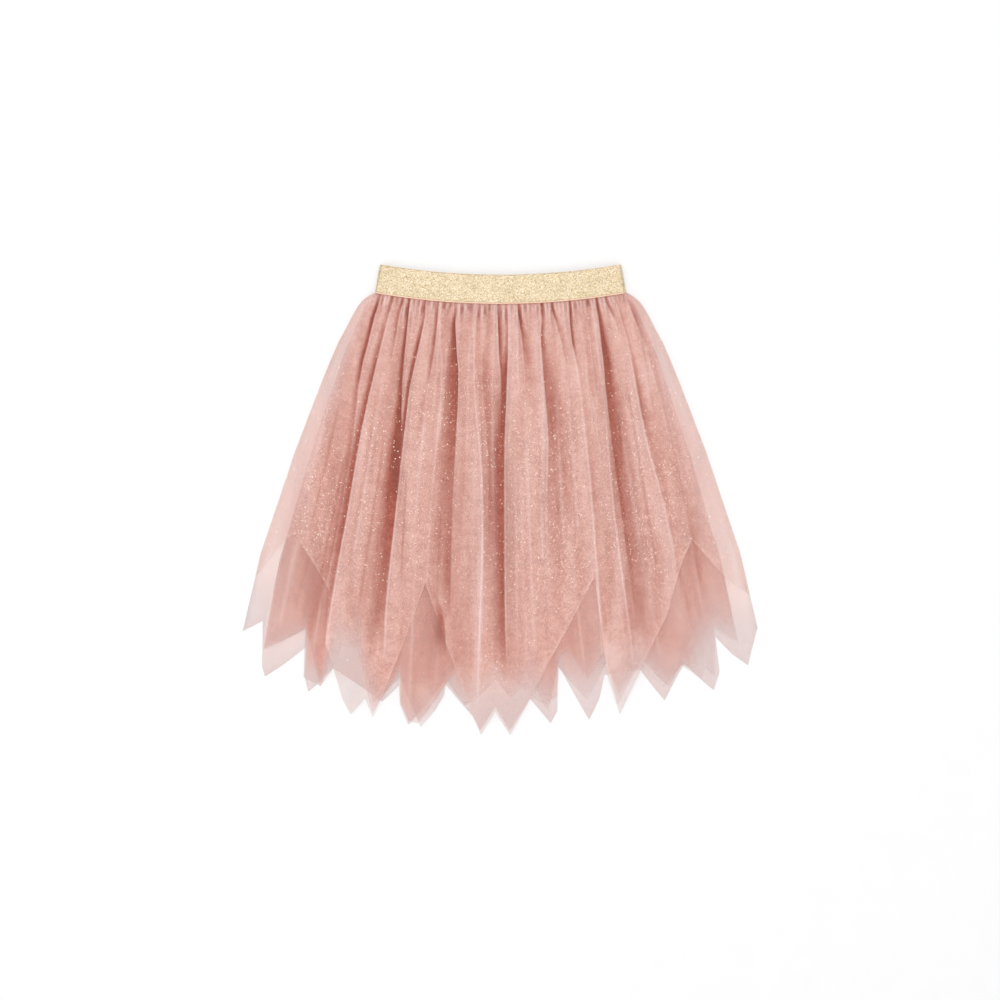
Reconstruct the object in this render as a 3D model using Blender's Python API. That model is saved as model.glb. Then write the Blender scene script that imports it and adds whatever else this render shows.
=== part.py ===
"""A child's gathered tulle skirt, laid flat on its back.

Five pieces: a loop of glitter elastic, and a front and a back panel in each of two layers of tulle.
The panels fan out from the waist, so they are laid out in garment coordinates: an angle about one
fan point above the waist, and a drop below the waist seam. The layers lie on each other, and the
front ones stand up in gathers at the band and in long folds below it.
"""

import bpy
import numpy as np

# Sizes in metres, angles in degrees.
FAN_POINT = (0.0004, 0.8359)
SEAM_RADIUS = 0.6600
SEAM_HALF_ANGLE = 10.1
SEAM_HALF_WIDTH = np.radians(SEAM_HALF_ANGLE) * SEAM_RADIUS
SIDE_FLARE_POWER = 7

BAND_WIDTH = 0.0266
BAND_HALF_ANGLE = 9.9
BAND_THICKNESS = 0.0064
BAND_WALL = 0.0018
BAND_STEPS = 24
BAND_END_STEPS = 6

WALL = 0.0014
LAYER_GAP = 0.0005
SEAM_GAP = 0.0003
LAYER_STEP = WALL + LAYER_GAP

UNDER_REACH = 0.97
OUTER_LIFT_REACH = 0.978
GATHER_SLOPE = 0.9
ROUNDING_SLOPE = 0.16
ROUNDING_SPAN = 0.003
BACK_GATHER = 0.0011
BACK_GATHER_RUN = 0.045
LEAN_DROP = 0.150
LONG_RUN = 200
FULL_FOLD = 2.2
FULL_FOLD_DROP = 0.190
SNAP_ANGLE = 0.07
ROUNDED_WIDTH = 0.012
SHORTEST_ROW = 0.006

# Each valley between two gathers: where it leaves the band, in mm along the seam from the middle,
# how far it leans to the right lower down, in degrees, and how far down the skirt it runs, in mm.
VALLEYS = [
    ("seam", "lean", "run"),
    (-108.3, 0.45, 115), (-96.6, -0.20, 400), (-88.5, 0.25, 60), (-83.6, 0.60, 400),
    (-78.2, 0.25, 35), (-68.8, -0.35, 400), (-57.1, -0.15, 75), (-50.8, -0.10, 30),
    (-45.4, 0.00, 35), (-39.5, 0.05, 400), (-34.2, 0.00, 40), (-26.2, 0.00, 60),
    (-18.4, 0.05, 90), (-13.0, 0.05, 35), (-9.4, 0.05, 30), (-1.1, 0.05, 400),
    (5.6, 0.10, 40), (11.0, 0.30, 30), (17.3, 0.60, 90), (22.7, 0.50, 30), (27.4, 0.40, 35),
    (38.2, 0.20, 230), (47.2, 0.20, 60), (50.8, 0.20, 30), (54.4, 0.15, 35), (59.2, 0.10, 30),
    (63.4, 0.10, 400), (70.6, -0.10, 45), (78.6, -0.30, 30), (84.0, -0.50, 35),
    (88.2, -0.60, 400), (98.4, -0.90, 30), (107.4, -1.20, 240), (114.1, -0.50, 60),
]

# The skirt at each drop, in mm: the height of the gathers, the height of the broad folds between
# the long valleys, and the half angle of the side.
SECTIONS = [
    ("drop", "gather", "fold", "side"),
    (0, 3.8, 0.2, 10.1),
    (14, 3.6, 1.4, 11.0),
    (34, 3.0, 3.0, 11.65),
    (66, 2.2, 5.0, 12.2),
    (120, 1.8, 6.2, 12.8),
    (190, 1.6, 5.6, 13.4),
    (250, 1.4, 4.4, 13.75),
    (315, 1.0, 2.8, 13.7),
    (400, 0.6, 1.2, 13.7),
]

# The corners of each hem from left to right: angle in degrees, drop in mm.
OUTER_FRONT_HEM = [
    ("angle", "drop"),
    (-13.7, 272), (-12.6, 235), (-12.06, 226), (-9.51, 271), (-9.27, 318), (-7.98, 365),
    (-7.46, 378), (-6.85, 362), (-6.36, 378), (-4.25, 253), (-2.35, 328), (-0.97, 387.7),
    (-0.26, 366.7), (0.47, 387.8), (2.6, 321), (5.33, 249), (5.52, 339), (5.96, 374.7), (7.26, 337.5),
    (9.04, 292), (10.4, 246), (11.16, 229), (12.56, 268), (13.7, 289),
]
UNDER_FRONT_HEM = [
    ("angle", "drop"),
    (-12.4, 340), (-10.47, 309), (-9.18, 358), (-7.9, 336), (-6.42, 374), (-5.22, 332),
    (-5.05, 359), (-4.29, 377), (-1.52, 307), (0.48, 356), (2.23, 368), (2.88, 353),
    (3.05, 313), (3.63, 298), (4.47, 351), (5.43, 325), (6.01, 367), (7.24, 336), (8.31, 358),
    (10.1, 321), (10.67, 349), (11.42, 311), (12.4, 332),
]
UNDER_BACK_HEM = [
    ("angle", "drop"),
    (-12.4, 322), (-11.3, 345), (-10.2, 322), (-8.9, 356), (-7.1, 330), (-5.2, 340),
    (-3.95, 386), (-3.30, 370), (-2.89, 356), (-2.80, 342), (-1.39, 370), (0.1, 340),
    (1.6, 365), (3.0, 330), (4.42, 368), (5.6, 330), (6.6, 352), (7.4, 330), (8.7, 352),
    (9.8, 318), (10.9, 350), (11.6, 316), (12.4, 330),
]
OUTER_BACK_HEM = [
    ("angle", "drop"),
    (-13.7, 322.6), (-12.79, 309.5), (-12.3, 350), (-12.05, 358), (-10.25, 324),
    (-10.06, 352), (-9.75, 364.3), (-8.7, 340), (-5.99, 364), (-5.21, 348), (-5.08, 365),
    (-4.57, 382.6), (-2.93, 342), (-1.39, 370), (0.0, 347), (1.52, 356), (2.5, 378.8),
    (2.86, 368), (3.0, 325), (4.42, 377.8), (5.01, 360), (5.39, 338.7), (7.26, 337.3),
    (8.29, 368), (9.57, 337.7), (10.81, 366.2), (11.28, 351), (11.42, 319), (12.12, 338),
    (12.77, 350.4), (13.7, 319.4),
]

GOLD = (0.80, 0.62, 0.36)
OUTER_PINK = (0.72, 0.38, 0.32)
UNDER_PINK = (0.74, 0.40, 0.35)


def columns_of(table):
    """The table's columns as arrays, by name."""
    return dict(zip(table[0], np.array(table[1:], dtype=float).T))


valleys = columns_of(VALLEYS)
sections = columns_of(SECTIONS)
levels = sections["drop"] / 1000
valley_lines = valleys["seam"] / 1000 / SEAM_HALF_WIDTH
lean_lines = np.concatenate([[-1], valley_lines, [1]])
leans = np.concatenate([[0], valleys["lean"], [0]])


def section(name, drop):
    """A column of SECTIONS at this drop, in its own unit."""
    return np.interp(drop, levels, sections[name])


def angle_at(across, drop):
    """The angle of a line of the cloth, which runs across from -1 at the left side to 1."""
    flare = section("side", drop) - SEAM_HALF_ANGLE
    lean = np.interp(across, lean_lines, leans) * min(drop / LEAN_DROP, 1)
    fan = SEAM_HALF_ANGLE * across + flare * np.sign(across) * np.abs(across) ** SIDE_FLARE_POWER
    return fan + lean


def across_at(angle, drop):
    """The line of the cloth that passes this angle at this drop."""
    lines = np.linspace(-1, 1, 2001)
    return float(np.interp(angle, angle_at(lines, drop), lines))


def place(angle, radius):
    """A point on the floor plan from its angle and its distance from the fan point."""
    turn = np.radians(angle)
    return FAN_POINT[0] + radius * np.sin(turn), FAN_POINT[1] - radius * np.cos(turn)


# The gathers: a crest line stands midway between two valley lines. A gather is no deeper than it
# is wide, and a narrow fold between two long valleys stands lower than a wide one.
crest_lines = (valley_lines[1:] + valley_lines[:-1]) / 2
fold_lines = np.sort(np.concatenate([[-1, -UNDER_REACH], valley_lines, crest_lines,
                                     [UNDER_REACH, 1]]))
room = np.minimum(np.diff(valley_lines, prepend=-1), np.diff(valley_lines, append=1)) / 2
valley_depth = GATHER_SLOPE * room * SEAM_HALF_WIDTH
long_lines = np.concatenate([[-1], valley_lines[valleys["run"] >= LONG_RUN], [1]])
fold_heights = np.minimum(np.diff(angle_at(long_lines, FULL_FOLD_DROP)) / FULL_FOLD, 1)


def broad_fold(across):
    """The rounded crown between two long valleys: 0 in each valley, and 1 along a wide one's top."""
    left = np.clip(np.searchsorted(long_lines, across, side="right") - 1, 0, len(long_lines) - 2)
    part = (across - long_lines[left]) / (long_lines[left + 1] - long_lines[left])
    crown = np.sqrt(np.maximum(np.sin(np.pi * np.clip(part, 0, 1)), 0))
    return crown * fold_heights[left]


def front_relief(across, drop):
    """How far the front panels stand up above the flat stack, straight between the fold lines."""
    gather = section("gather", drop) / 1000
    heights = section("fold", drop) / 1000 * broad_fold(fold_lines) + gather
    still_there = np.clip(1.25 - drop * 1000 / valleys["run"], 0, 1)
    cut = np.minimum(valley_depth, gather) * still_there
    heights[np.searchsorted(fold_lines, valley_lines)] -= cut
    heights[[0, -1]] = 0
    return np.interp(across, fold_lines, heights)


def back_relief(across, drop):
    """How far the back panels lift off the floor in the shallow gathers below the band."""
    heights = np.zeros(len(fold_lines))
    heights[np.searchsorted(fold_lines, valley_lines)] = np.minimum(valley_depth, BACK_GATHER)
    return np.interp(across, fold_lines, heights) * max(1 - drop / BACK_GATHER_RUN, 0)


def stack_height(layer, across):
    """The height of a layer's underside on the flat stack; the outer front comes down at the sides."""
    if layer < 3:
        return layer * LAYER_STEP
    return LAYER_STEP * np.interp(abs(across), [0, OUTER_LIFT_REACH, 1], [3, 3, 1])


def snapped_hem(hem, reach):
    """The hem's corners as lines of the cloth, moved onto a fold line where one is near."""
    table = columns_of(hem)
    corners = []
    for angle, drop in zip(table["angle"], table["drop"] / 1000):
        line = np.clip(across_at(angle, drop), -reach, reach)
        apart = np.abs(angle_at(fold_lines, drop) - angle)
        if apart.min() < SNAP_ANGLE:
            line = np.clip(fold_lines[np.argmin(apart)], -reach, reach)
        corners.append((line, drop))
    return np.array(corners)


def column_lines(corners, reach, rounded):
    """The lines of the cloth that carry the panel's points, from side to side."""
    lines = np.concatenate([fold_lines[np.abs(fold_lines) <= reach], corners[:, 0]])
    lines = np.unique(np.round(lines, 6))
    if rounded:
        wide = np.diff(lines) > ROUNDED_WIDTH
        lines = np.sort(np.concatenate([lines, (lines[1:] + lines[:-1])[wide] / 2]))
    return lines


def closed_solid(name, points, faces, material):
    """One named object from points and faces, shaded smooth but for its sharp edges."""
    mesh = bpy.data.meshes.new(name)
    mesh.from_pydata(points, [], faces)
    mesh.validate()
    mesh.shade_smooth()
    mesh.set_sharp_from_angle(angle=np.radians(50))
    mesh.materials.append(material)
    part = bpy.data.objects.new(name, mesh)
    bpy.context.scene.collection.objects.link(part)
    return part


def panel(name, layer, hem, material):
    """A gathered panel: columns of points from the seam to the hem, with a wall's thickness."""
    front = layer >= 2
    outer = layer in (0, 3)
    reach = 1.0 if outer else UNDER_REACH
    corners = snapped_hem(hem, reach)
    lines = column_lines(corners, reach, rounded=layer == 3)
    points = []
    columns = []
    for line in lines:
        hem_drop = np.interp(line, corners[:, 0], corners[:, 1])
        drops = [d for d in levels if d < hem_drop - SHORTEST_ROW] + [hem_drop]
        column = []
        for drop in drops:
            underside = stack_height(layer, line) + back_relief(line, drop)
            if front:
                underside += front_relief(line, drop)
            if layer == 3:
                nearest = np.min(np.abs(fold_lines - line)) * SEAM_HALF_WIDTH
                underside += ROUNDING_SLOPE * min(nearest, ROUNDING_SPAN)
            x, y = place(angle_at(line, drop), SEAM_RADIUS + max(drop, SEAM_GAP))
            column.append(len(points))
            points += [(x, y, underside), (x, y, underside + WALL)]
        columns.append(column)

    faces = []
    for left, right in zip(columns, columns[1:]):
        shared = min(len(left), len(right)) - 1
        for row in range(shared):
            if row == shared - 1:
                faces += last_cell(left[row:], right[row:])
            else:
                quad = (left[row], left[row + 1], right[row + 1], right[row])
                faces += [quad[:3], (quad[0], quad[2], quad[3])]
    underside_faces = [face[::-1] for face in faces]
    top_faces = [tuple(index + 1 for index in face) for face in faces]

    rim = columns[0] + [column[-1] for column in columns[1:-1]] + columns[-1][::-1]
    rim += [column[0] for column in columns[-2:0:-1]]
    walls = [(a, b, b + 1, a + 1) for a, b in zip(rim, rim[1:] + rim[:1])]
    return closed_solid(name, points, underside_faces + top_faces + walls, material)


def last_cell(left, right):
    """The triangles between two columns from their last shared row down to their hem points."""
    faces = []
    if len(left) >= len(right):
        faces.append((left[0], right[1], right[0]))
        faces += [(left[k], left[k + 1], right[1]) for k in range(len(left) - 1)]
    else:
        faces.append((left[0], left[1], right[0]))
        faces += [(left[1], right[k + 1], right[k]) for k in range(len(right) - 1)]
    return faces


def loop_profile(inset):
    """The flattened loop seen end on: angle along the seam and height, this far inside its face."""
    rise = BAND_THICKNESS / 2 - inset
    end_turn = np.degrees(BAND_THICKNESS / 2 / SEAM_RADIUS)
    straight = BAND_HALF_ANGLE - end_turn
    along = np.linspace(-straight, straight, BAND_STEPS + 1)
    turn = np.linspace(-np.pi / 2, np.pi / 2, BAND_END_STEPS + 1)[1:-1]
    bulge = np.degrees(rise / SEAM_RADIUS) * np.cos(turn)
    ring = [(a, -rise) for a in along]
    ring += [(straight + b, rise * np.sin(t)) for b, t in zip(bulge, turn)]
    ring += [(a, rise) for a in along[::-1]]
    ring += [(-straight - b, -rise * np.sin(t)) for b, t in zip(bulge, turn)]
    return [(a, h + BAND_THICKNESS / 2) for a, h in ring]


def waistband(material):
    """A loop of elastic laid flat, curved along the seam's arc."""
    rings = []
    for inset, radius in [(0, SEAM_RADIUS), (0, SEAM_RADIUS - BAND_WIDTH),
                          (BAND_WALL, SEAM_RADIUS - BAND_WIDTH), (BAND_WALL, SEAM_RADIUS)]:
        rings.append([(*place(angle, radius), height) for angle, height in loop_profile(inset)])
    count = len(rings[0])
    points = [point for ring in rings for point in ring]
    faces = []
    for ring in range(4):
        start, following = ring * count, (ring + 1) % 4 * count
        for k in range(count):
            after = (k + 1) % count
            faces.append((start + k, following + k, following + after, start + after))
    return closed_solid("waistband", points, faces, material)


def finish(name, color, roughness, metallic):
    """A plain material in the piece's colour."""
    material = bpy.data.materials.new(name)
    material.use_nodes = True
    shader = material.node_tree.nodes["Principled BSDF"]
    shader.inputs["Base Color"].default_value = (*color, 1)
    shader.inputs["Roughness"].default_value = roughness
    shader.inputs["Metallic"].default_value = metallic
    material.diffuse_color = (*color, 1)
    return material


for old in list(bpy.data.objects):
    bpy.data.objects.remove(old)

waistband(finish("gold_glitter_elastic", GOLD, roughness=0.35, metallic=0.7))
panel("outer_tulle_back", 0, OUTER_BACK_HEM, finish("outer_back_tulle", OUTER_PINK, 0.8, 0))
panel("under_tulle_back", 1, UNDER_BACK_HEM, finish("under_back_tulle", UNDER_PINK, 0.85, 0))
panel("under_tulle_front", 2, UNDER_FRONT_HEM, finish("under_front_tulle", UNDER_PINK, 0.85, 0))
panel("outer_tulle_front", 3, OUTER_FRONT_HEM, finish("glitter_tulle", OUTER_PINK, 0.75, 0))
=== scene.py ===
"""The finish of a child's gathered tulle skirt, laid flat on its back and seen from straight above.

Two layers of tulle, each a front and a back panel, are gathered into a loop of glitter elastic.
The pieces follow in the order in which they lie: back panels, front panels, glitter, waistband.
"""

import bpy
import numpy as np
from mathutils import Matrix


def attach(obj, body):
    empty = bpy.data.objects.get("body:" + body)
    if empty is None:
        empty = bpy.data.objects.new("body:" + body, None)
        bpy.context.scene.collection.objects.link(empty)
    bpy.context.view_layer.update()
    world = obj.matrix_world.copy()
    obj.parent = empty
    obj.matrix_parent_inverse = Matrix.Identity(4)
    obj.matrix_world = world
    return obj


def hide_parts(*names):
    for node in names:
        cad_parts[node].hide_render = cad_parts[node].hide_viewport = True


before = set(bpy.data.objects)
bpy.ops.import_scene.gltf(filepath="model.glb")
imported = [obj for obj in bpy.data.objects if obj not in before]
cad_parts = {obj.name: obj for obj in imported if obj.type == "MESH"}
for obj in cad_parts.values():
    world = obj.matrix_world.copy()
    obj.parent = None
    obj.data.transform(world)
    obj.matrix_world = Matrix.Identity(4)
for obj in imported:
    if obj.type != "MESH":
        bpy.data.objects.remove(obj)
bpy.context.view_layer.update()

# ----------------------------------------
# Outer back panel: glitter tulle cut with a pointed hem and gathered to the waist seam.
# It lies flat on the surface, and all the cloth is laid out on its fan: an angle in degrees about
# a point above the waist, and a drop in metres below the waist seam.

FAN_POINT = (0.0004, 0.8359)
SEAM_RADIUS = 0.6600
SEAM_HALF_ANGLE = 10.1
SIDE_FLARE_POWER = 7
LAYER_STEP = 0.0019
TULLE = 0.00035

# The small tucks drawn up by the seam: angle, first and last drop in mm, half width in mm, and
# depth, which also sets how dark their painted shade is.
TUCKS = [
    (-9.52, 3, 9, 0.9, 0.8), (-9.22, 1, 8, 0.9, 0.9), (-8.8, 0, 4, 0.8, 0.45), (-8.5, 0, 4, 1.2, 0.9),
    (-8.08, 0, 5, 0.9, 0.55), (-7.62, 0, 5, 0.9, 0.8), (-7.2, 8, 17, 1, 0.9), (-6.85, 12, 26, 0.8, 0.45),
    (-6.7, 0, 4, 1.1, 0.8), (-6.4, 0, 4, 1, 0.9), (-6.01, 2, 13, 0.9, 0.7), (-5.64, 0, 3, 1.5, 0.8),
    (-5.12, 0, 5, 1.1, 0.9), (-4.98, 4, 16, 0.8, 0.6), (-4.38, 0, 5, 1.2, 0.9), (-4, 3, 12, 0.8, 0.4),
    (-3.88, 0, 4, 1, 0.8), (-3.42, 4, 12, 0.9, 0.6), (-2.98, 1, 9, 1.1, 0.9), (-2.6, 0, 3, 0.7, 0.45),
    (-2.33, 0, 5, 2.2, 1), (-2.28, 9, 18, 0.9, 0.35), (-1.92, 0, 6, 0.7, 0.45), (-1.66, 0, 13, 0.9, 0.7),
    (-1.18, 2, 9, 1, 0.8), (-0.86, 0, 5, 1, 0.8), (-0.6, 0, 4, 0.7, 0.5), (-0.28, 0, 8, 0.8, 0.6),
    (0.02, 0, 12, 0.8, 0.7), (0.22, 0, 4, 0.7, 0.45), (0.44, 3, 14, 0.8, 0.7), (0.9, 0, 5, 0.9, 0.6),
    (1.2, 0, 3, 0.7, 0.45), (1.48, 2, 12, 1.1, 0.85), (1.92, 0, 6, 1, 0.7), (2.32, 0, 5, 0.8, 0.55),
    (2.6, 0, 3, 0.7, 0.45), (2.9, 2, 7, 0.8, 0.6), (3.26, 0, 8, 1.3, 0.95), (3.62, 0, 4, 0.7, 0.5),
    (4.02, 0, 9, 1.2, 0.9), (4.36, 0, 3, 0.8, 0.5), (4.7, 0, 4, 0.8, 0.5), (5.05, 1, 8, 0.9, 0.7),
    (5.4, 2, 14, 0.8, 0.75), (5.8, 1, 7, 0.9, 0.7), (6.12, 0, 4, 0.7, 0.5), (6.45, 0, 5, 0.8, 0.55),
    (6.8, 0, 6, 1.7, 1), (7.18, 0, 3, 0.9, 0.7), (7.5, 0, 8, 1.1, 0.8), (7.9, 0, 4, 0.8, 0.55),
    (8.3, 1, 9, 1, 0.75), (8.62, 0, 4, 0.8, 0.5), (8.92, 0, 4, 0.9, 0.6), (9.3, 0, 5, 0.8, 0.5),
    (9.62, 0, 6, 0.9, 0.6),
]

# The skirt at each drop, in mm: the height of the gathers, the height of the broad folds between
# the long valleys, and the half angle of the side.
SECTIONS = [
    ("drop", "gather", "fold", "side"),
    (-4, 3.8, 0.2, 9.5), (0, 3.8, 0.2, 9.98), (3, 3.8, 0.4, 10.34), (8, 3.7, 0.8, 10.72),
    (14, 3.6, 1.4, 11), (24, 3.3, 2.2, 11.3), (34, 3, 3, 11.52), (48, 2.6, 3.9, 11.88),
    (66, 2.2, 5, 12.18), (90, 2, 5.6, 12.5), (120, 1.8, 6.2, 12.83), (155, 1.7, 5.9, 13.18),
    (190, 1.6, 5.6, 13.4), (250, 1.4, 4.4, 13.75), (315, 1, 2.8, 13.7), (400, 0.6, 1.2, 13.7),
]

# The corners of each hem from left to right: angle in degrees, drop in mm.
OUTER_BACK_HEM = [
    (-13.7, 322.6), (-12.79, 309.5), (-12.3, 350), (-12.05, 358), (-10.25, 324), (-10.06, 352),
    (-9.75, 364.3), (-8.7, 340), (-5.99, 364), (-5.21, 348), (-5.08, 365), (-4.57, 382.6), (-2.93, 342),
    (-1.39, 372), (-1, 384.5), (-0.26, 363), (0.45, 384.5), (1.52, 356), (2.5, 378.8), (2.86, 368),
    (3, 325), (4.42, 377.8), (5.01, 360), (5.39, 338.7), (7.26, 337.3), (8.29, 368), (9.57, 337.7),
    (10.81, 366.2), (11.28, 351), (11.42, 319), (12.12, 338), (12.77, 350.4), (13.7, 319.4),
]

# Creases pressed into a panel: from one angle and drop in mm to another, half width in mm, and
# rise in mm, which is negative for a furrow.
OUTER_BACK_CREASES = [
    (-11.2, 5, -12.6, 330, 1.8, 0.7), (-8.1, 10, -9.4, 350, 2.4, 0.9), (-6.2, 4, -6.9, 240, 1.6, 0.6),
    (-4.4, 8, -4.7, 375, 2.2, 0.8), (-2.3, 5, -2.2, 300, 1.7, 0.7), (-0.4, 6, -0.1, 340, 2.6, 0.9),
    (1.9, 3, 2.4, 370, 2, 0.8), (3.6, 8, 4.3, 365, 1.7, 0.6), (5.8, 5, 6.7, 280, 2.3, 0.9),
    (7.7, 9, 8.4, 360, 1.9, 0.7), (9.1, 4, 10.9, 355, 2.5, 0.9), (10.9, 12, 12.7, 330, 1.6, 0.6),
]

# Where the tulle lies thinner towards its points: angle, and the drop in mm where this starts.
SHEER_FROM = [
    (-13.7, 236), (-12.7, 246), (-12.5, 300), (-11.5, 290), (-10.4, 290), (-10.1, 330), (-9.2, 325),
    (-8.9, 275), (-7.6, 272), (-6.8, 315), (-5.3, 345), (-4.6, 345), (-3.3, 335), (-2.95, 350),
    (-2.7, 325), (-1.4, 318), (0.4, 315), (1.6, 300), (2.6, 318), (3.3, 300), (4.4, 303), (5.2, 292),
    (5.7, 310), (6.3, 305), (7.2, 288), (8.3, 305), (9.2, 318), (10.2, 285), (11.4, 262), (12.6, 268),
    (12.9, 262), (13.7, 268),
]
SHEER_RUN = 62

sections = dict(zip(SECTIONS[0], np.array(SECTIONS[1:], dtype=float).T))


def section(name, drop):
    """A column of SECTIONS at these drops: metres for the heights, degrees for the side."""
    unit = 1 if name == "side" else 1000
    return np.interp(drop, sections["drop"] / 1000, sections[name]) / unit


def angle_at(line, drop):
    """The angle of a line of the cloth, which runs down it, from -1 at the left side to 1."""
    flare = section("side", drop) - SEAM_HALF_ANGLE
    return SEAM_HALF_ANGLE * line + flare * np.sign(line) * np.abs(line) ** SIDE_FLARE_POWER


def place(angle, radius):
    """A point on the floor plan from its angle and its distance from the fan point."""
    turn = np.radians(angle)
    return FAN_POINT[0] + radius * np.sin(turn), FAN_POINT[1] - radius * np.cos(turn)


def beside(angle, drop, other):
    """How far each point lies to the right of another angle at the same drop, in metres."""
    return np.radians(angle - other) * (SEAM_RADIUS + drop)


def smooth(value):
    """A soft step from 0 to 1 as the value goes from 0 to 1."""
    share = np.clip(value, 0, 1)
    return share * share * (3 - 2 * share)


def fading(drop, run):
    """From 1 at the seam towards 0 further down."""
    return np.exp(-np.maximum(drop, 0) / run)


SAME_LINE = 0.0008
TUCKED_IN = (-0.0040, -0.0015, 0.0)
ROW_CROWDING = 1.35
HEM_EDGE = 0.0012


def cloth_grid(hem, reach, columns, rows):
    """Line and drop of every point of a panel, from inside the band down to the hem."""
    corner_angles, corner_drops = np.array(hem).T
    corner_drops = corner_drops / 1000
    every = np.linspace(-1, 1, 2001)
    corner_lines = np.clip([np.interp(angle, angle_at(every, drop), every)
                            for angle, drop in zip(corner_angles, corner_drops)], -reach, reach)
    loose = np.linspace(-reach, reach, columns)[1:-1]
    apart = np.min(np.abs(loose[:, None] - corner_lines[None, :]), axis=1)
    lines = np.sort(np.concatenate([loose[apart > SAME_LINE], corner_lines]))
    hem_drops = np.interp(lines, corner_lines, corner_drops)
    shares = np.linspace(0, 1, rows + 1)[1:] ** ROW_CROWDING
    drops = np.concatenate([np.repeat(np.array(TUCKED_IN)[:, None], len(lines), axis=1),
                            shares[:, None] * (hem_drops - HEM_EDGE)[None, :],
                            hem_drops[None, :]])
    return np.repeat(lines[None, :], len(drops), axis=0), drops


TUCK_SPREAD = 1.35
TUCK_LONGER = 2
TUCK_START = 0.8
TUCK_END = 1.2
TAIL_DEPTH = 0.38
TAIL_RUN = 26
CREST_AWAY = 1.1
CREST_WIDTH = 0.8


def tucked(angle, drop):
    """How deep in a tuck each point is, also its painted shade, and the painted highlight of the crests.
    """
    depth, crest = np.zeros((2, *angle.shape))
    down = drop * 1000
    for middle, start, end, width, deep in TUCKS:
        width, past = width * TUCK_SPREAD, down - (end + TUCK_LONGER)
        away = np.abs(beside(angle, drop, middle)) * 1000
        ends = 1 / (1 + np.exp(past / TUCK_END)) / (1 + np.exp((start - 1 - down) / TUCK_START))
        tail = TAIL_DEPTH * np.exp(-np.maximum(past, 0) / TAIL_RUN) * (down > start)
        depth = np.maximum(depth, deep * np.exp(-(away / width) ** 3) * np.maximum(ends, tail))
        on_crest = np.exp(-((away - width - CREST_AWAY) / CREST_WIDTH) ** 2)
        crest = np.maximum(crest, deep * on_crest * ends)
    return depth, crest


def sheer(angle, drop):
    """From 0 where the tulle has its full colour to 1 well down in the thin points."""
    return smooth((drop * 1000 - np.interp(angle, *np.array(SHEER_FROM).T)) / SHEER_RUN)


def near_hem(drop, run):
    """From 0 at this distance above the panel's own hem to 1 at the hem."""
    return smooth(1 - (drop[-1] - drop) / run)


CREASE_ENDS = 6


def creased(line, drop, creases):
    """Height of pressed creases, painted highlight on their ridges and painted shade in their furrows.
    """
    angle = angle_at(line, drop)
    height, ridge, furrow = np.zeros((3, *line.shape))
    for from_angle, from_drop, to_angle, to_drop, width, rise in creases:
        share = (drop * 1000 - from_drop) / (to_drop - from_drop)
        away = beside(angle, drop, from_angle + share * (to_angle - from_angle)) * 1000 / width
        bump = np.exp(-away**2) * np.clip(np.minimum(share, 1 - share) * CREASE_ENDS, 0, 1)
        height += rise / 1000 * bump
        ridge = np.maximum(ridge, bump * (rise > 0))
        furrow = np.maximum(furrow, bump * (rise < 0))
    return height, ridge, furrow


RUMPLE_WAVES = 14


def rumples(line, drop, seed, height):
    """Slight unevenness of soft net, longer down the skirt than across it."""
    random = np.random.default_rng(seed)
    total = np.zeros_like(line)
    for _ in range(RUMPLE_WAVES):
        across, down = random.uniform(25, 95), random.uniform(6, 45)
        total += np.sin(across * line + down * drop * 2 + random.uniform(0, 6.28))
    return height * total / RUMPLE_WAVES


def linked(name, data):
    """A new object in the scene, at the origin."""
    thing = bpy.data.objects.new(name, data)
    bpy.context.scene.collection.objects.link(thing)
    return thing


def new_piece(name, points, faces, material):
    """An object whose smooth mesh has these points and faces."""
    mesh = bpy.data.meshes.new(name)
    mesh.from_pydata(points.reshape(-1, 3).tolist(), [], faces.tolist())
    mesh.shade_smooth()
    mesh.materials.append(material)
    return linked(name, mesh)


def mark(mesh, name, values):
    """A value at every point of a mesh, for its material or its glitter."""
    layer = mesh.attributes.new(name, "FLOAT", "POINT")
    layer.data.foreach_set("value", values.astype(np.float32))


def tulle_shell(name, angle, drop, bottom, marks, material):
    """A thin closed shell of tulle from its grid of points, with its marks as attributes."""
    x, y = place(angle, SEAM_RADIUS + drop)
    under = np.stack([x, y, bottom], axis=-1).reshape(-1, 3)
    index = np.arange(drop.size).reshape(drop.shape)
    cells = np.stack([index[:-1, :-1], index[1:, :-1], index[1:, 1:], index[:-1, 1:]], axis=-1)
    cells = cells.reshape(-1, 4)
    rim = np.concatenate([index[:, 0], index[-1, 1:], index[-2::-1, -1], index[0, -2:0:-1]])
    after = np.roll(rim, -1)
    walls = np.stack([rim, after, after + drop.size, rim + drop.size], axis=-1)
    faces = np.concatenate([cells[:, ::-1], cells + drop.size, walls])
    piece = new_piece(name, np.concatenate([under, under + (0, 0, TULLE)]), faces, material)
    uv = np.stack([np.radians(angle) * (SEAM_RADIUS + drop), -drop], axis=-1).reshape(-1, 2)
    corners = np.empty(len(piece.data.loops), dtype=np.int32)
    piece.data.loops.foreach_get("vertex_index", corners)
    layer = piece.data.uv_layers.new(name="cloth")
    layer.uv.foreach_set("vector", uv[corners % drop.size].ravel())
    for name_of_mark, values in marks.items():
        mark(piece.data, name_of_mark, np.tile(values.ravel(), 2))
    return piece


def add_socket(tree, name, kind, value=None, output=False):
    """A named socket of a node tree."""
    socket = tree.interface.new_socket(name, in_out="OUTPUT" if output else "INPUT",
                                       socket_type="NodeSocket" + kind)
    if value is not None:
        socket.default_value = value
    return socket


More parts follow.
